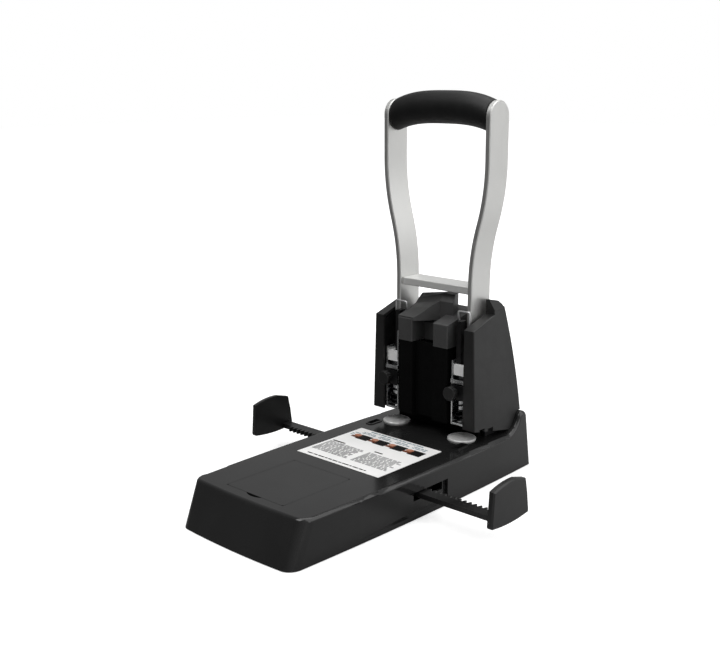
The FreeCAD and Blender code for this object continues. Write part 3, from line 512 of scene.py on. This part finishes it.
def return_springs(finish):
    """Springs coiled on the shaft, each with a leg that hooks over the front of its arm."""
    wire, mean, pitch, turns, per_turn, coil_x = 0.75, 7.6, 2.5, 3, 14, 19.4
    shaft_y, shaft_z, arm_y, hook_z = 98.0, 106.0, 78.9, 139.6
    for side, name in ((1, "right"), (-1, "left")):
        points = []
        for i in range(turns * per_turn + 1):
            angle = 2 * math.pi * i / per_turn
            points.append((coil_x + pitch * i / per_turn, shaft_y - mean * math.cos(angle),
                           shaft_z + mean * math.sin(angle)))
        points += [(27.1, 89.6, 110.6), (27.2, 88.0, 114.0), (27.2, 84.6, 122.0),
                   (27.2, 80.6, 132.0), (27.2, arm_y, 136.2), (27.2, arm_y, hook_z - 0.8),
                   (28.0, arm_y, hook_z),
                   (31.5, arm_y, hook_z), (36.0, arm_y, hook_z), (38.3, arm_y, hook_z),
                   (38.5, arm_y, hook_z - 1.0), (38.5, arm_y, 135.0), (38.5, arm_y, 129.6)]
        spring = wire_along([(side * x, y, z) for x, y, z in points], wire)
        place_piece(spring, "torsion_spring_" + name, "handle", "spring_steel", finish,
                    "return_spring_" + name)


def grip_piece(finish):
    """Soft arched grip: a turned blank cut into rings, which are lifted to the arch and rounded off."""
    low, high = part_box("grip")
    inner = high.x
    deselect()
    ops.mesh.primitive_cylinder_add(vertices=28, radius=1.0, depth=2 * inner,
                                    rotation=(0, math.pi / 2, 0))
    grip = bpy.context.object
    ops.object.transform_apply(location=True, rotation=True, scale=True)
    by_end, end_size = 0.985, 0.955
    shares = [k / 10 for k in range(-9, 10)] + [-by_end, by_end]
    ops.object.mode_set(mode="EDIT")
    for share in shares:
        ops.mesh.select_all(action="SELECT")
        ops.mesh.bisect(plane_co=(share * inner, 0, 0), plane_no=(1, 0, 0))
    ops.object.mode_set(mode="OBJECT")
    half_deep = (high.y - low.y) / 2
    middle_y = (high.y + low.y) / 2
    half_high = 13.1 * MM
    arch = 6.9 * MM
    end_z = high.z - half_high - arch
    for share in sorted(shares + [-1.0, 1.0]):
        trim = end_size if abs(share) == 1.0 else 1.0
        lift = end_z + arch * (1 - abs(share) ** 3)
        pick(grip, lambda spot: abs(spot.x - share * inner) < 1e-5)
        ops.transform.resize(value=(1.0, half_deep * trim, half_high * trim),
                             center_override=(share * inner, 0, 0))
        ops.transform.translate(value=(0, middle_y, lift))
        ops.object.mode_set(mode="OBJECT")
    smooth = grip.modifiers.new("skin", "SUBSURF")
    smooth.levels = smooth.render_levels = 2
    grip.select_set(True)
    bpy.context.view_layer.objects.active = grip
    ops.object.mode_set(mode="EDIT")
    ops.mesh.select_all(action="SELECT")
    ops.mesh.normals_make_consistent(inside=False)
    ops.object.mode_set(mode="OBJECT")
    ops.object.modifier_apply(modifier="skin")
    ops.object.shade_smooth()
    place_piece(grip, "soft_grip", "handle", "grip_rubber", finish, "grip")


def rubber_pads(finish):
    """Feet under the floor plate: one round pad with a rounded rim, copied to four places."""
    low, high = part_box("rubber_feet")
    radius = 8.0 * MM
    deep = high.z - low.z
    across = high.x - low.x - 2 * radius
    along = high.y - low.y - 2 * radius
    deselect()
    ops.mesh.primitive_cylinder_add(vertices=48, radius=radius, depth=deep,
                                    location=(low.x + radius, low.y + radius, low.z + deep / 2))
    pad = bpy.context.object
    rim = pad.modifiers.new("rim", "BEVEL")
    rim.width = 0.35 * MM
    rim.segments = 3
    rim.limit_method = "ANGLE"
    rim.angle_limit = math.radians(40)
    ops.object.modifier_apply(modifier="rim")
    ops.object.shade_smooth_by_angle(angle=math.radians(50))
    pads = [pad]
    for x, y in ((across, 0), (0, along), (across, along)):
        deselect()
        pad.select_set(True)
        bpy.context.view_layer.objects.active = pad
        ops.object.duplicate()
        copy = bpy.context.object
        copy.location = pad.location + Vector((x, y, 0))
        pads.append(copy)
    for each in pads:
        each.select_set(True)
    bpy.context.view_layer.objects.active = pad
    ops.object.join()
    place_piece(bpy.context.object, "rubber_pads", "base", "foot_rubber", finish, "rubber_feet")


def word_bars(left, right, front, deep, first):
    """Printed bars of uneven lengths in one row from left to right."""
    words = (5.2, 3.0, 7.1, 2.2, 5.8, 4.1, 6.4, 2.8, 3.7)
    bars = []
    while left < right - 1.5:
        wide = min(words[first % len(words)], right - left)
        bars.append((left, front, wide, deep))
        left += wide + 0.9
        first += 1
    return bars


def print_on_label(name, bars, finish, round_spots=()):
    """Ink on the label: flat bars and ovals, in millimetres from the label's front left corner."""
    low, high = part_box("instruction_label")
    deselect()
    flats = []
    for spot in [*bars, *round_spots]:
        left, front, wide, deep = spot
        where = (low.x + (left + wide / 2) * MM, low.y + (front + deep / 2) * MM, high.z)
        if spot in round_spots:
            ops.mesh.primitive_circle_add(vertices=24, radius=0.5, fill_type="NGON", location=where)
        else:
            ops.mesh.primitive_plane_add(size=1.0, location=where)
        bpy.context.object.scale = (wide * MM, deep * MM, 1.0)
        flats.append(bpy.context.object)
    deselect()
    for flat in flats:
        flat.select_set(True)
    bpy.context.view_layer.objects.active = flats[0]
    ops.object.join()
    ops.object.transform_apply(location=True, rotation=True, scale=True)
    film = bpy.context.object
    layer = film.modifiers.new("film", "SOLIDIFY")
    layer.thickness = 0.03 * MM
    layer.offset = 1.0
    ops.object.modifier_apply(modifier="film")
    place_piece(film, name, "base", "label_sheet", finish)


def label_print():
    """Generic print: rows of grey bars, and four small pictures with a dark field and a peach oval."""
    pictures = (6.0, 24.6, 43.2, 61.6)
    grey = []
    for k in range(11):
        front = 13.2 + 2.05 * k
        grey += word_bars(2.6, 40.5 - 1.5 * (k % 3), front, 1.7, 2 * k)
        grey += word_bars(45.0, 81.5 - 1.5 * (k % 4), front, 1.7, 2 * k + 1)
    print_on_label("label_text", grey, ink("grey_label_ink", "#868686", "#a2a2a2"))

    dark = [(3.2, 36.6, 13.5, 1.9), (47.0, 38.4, 8.5, 1.7)] + word_bars(8.0, 70.0, 3.2, 1.5, 4)
    dark += [(left + 6.6, 52.8, 12.4, 10.0) for left in pictures]
    print_on_label("label_dark_print", dark, ink("black_label_ink", "#080808", "#141414"))

    skin = [(left + 0.8, 57.6, 7.2, 5.0) for left in pictures]
    print_on_label("label_skin_print", [], ink("peach_label_ink", "#a86f55", "#c89a83"), skin)
    shade = [(left + 0.6, 54.4, 8.0, 3.4) for left in pictures]
    print_on_label("label_brown_print", shade, ink("brown_label_ink", "#5a2f1e", "#7a4530"))

    blue = [(3.2, 57.6, 2.4, 1.3), (2.8, 60.4, 2.8, 1.3), (3.6, 63.2, 6.0, 1.3)]
    for k, (left, right) in enumerate(((9.0, 24.0), (27.0, 42.0), (45.0, 60.0), (63.0, 79.0))):
        blue += word_bars(left, right, 65.4, 1.3, k)
        blue += word_bars(left, right - 2.0, 67.9, 1.3, k + 3)
    blue += word_bars(14.0, 70.0, 71.4, 1.7, 2)
    print_on_label("label_blue_print", blue, ink("blue_grey_label_ink", "#6d8189", "#8a9ba3"))


def soften_edges(width, *stems):
    """Round the sharp edges of CAD nodes by a radius in millimetres, as a mould leaves them."""
    for name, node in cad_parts.items():
        if stem_of(name) not in stems:
            continue
        merge = node.modifiers.new("merge", "WELD")
        merge.merge_threshold = 0.002 * MM
        edge = node.modifiers.new("edge", "BEVEL")
        edge.width = width * MM
        edge.segments = 2
        edge.limit_method = "ANGLE"
        edge.angle_limit = math.radians(35)
        edge.use_clamp_overlap = True
        level = node.modifiers.new("level", "WEIGHTED_NORMAL")
        level.keep_sharp = True


finishes = node_finishes()
soften_edges(0.9, "storage_lid")
soften_edges(0.4, "cheek", "head", "guide_plate", "column_cover", "rear_cover")
soften_edges(0.25, "handle_arm", "handle_crossbar", "side_frame", "paper_stop", "knob")
soften_edges(0.8, "cutting_disc")
soften_edges(0.15, "punch_bracket", "punch_slide", "slide_rack", "guide_rack", "clamp_plate")
grip_piece(finishes["grip"])
# The punch springs take the dark wire, whose colour is painted shade.
punch_springs(finishes["punch_spring"])
return_springs(bright_wire())
rubber_pads(finishes["rubber_feet"])
label_print()
studio()
